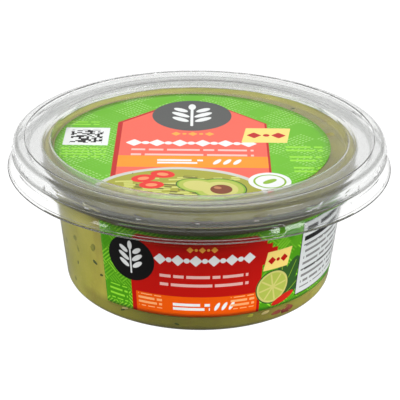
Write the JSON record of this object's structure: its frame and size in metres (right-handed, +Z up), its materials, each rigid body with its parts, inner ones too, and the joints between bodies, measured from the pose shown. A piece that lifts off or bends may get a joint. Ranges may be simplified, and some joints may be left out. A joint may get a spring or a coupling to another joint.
{
  "type": "tub of guacamole",
  "caption": "Round clear tub filled with guacamole and shut with a clear lid, with a printed label round its side and a round printed label on the lid.",
  "frame": {"origin": "centre of the underside of the tub's base, on the surface that it stands on", "axes": "+Z up through the middle of the lid; -Y is the front; the bare window between the ends of the wrapped label is at -X"},
  "size_m": [0.1172, 0.1172, 0.0474],
  "materials": {
    "tub_plastic": "clear, thin and glossy",
    "guacamole_dip": "moist, smooth where it presses on the wall",
    "wrap_print": "satin printed film",
    "lid_plastic": "clear, thin and glossy",
    "disc_print": "satin printed film"
  },
  "bodies": {
    "root": {"tub": "tub_plastic", "guacamole": "guacamole_dip", "label_wrap": "wrap_print", "lid": "lid_plastic", "label_top": "disc_print"}
  },
  "joints": []
}
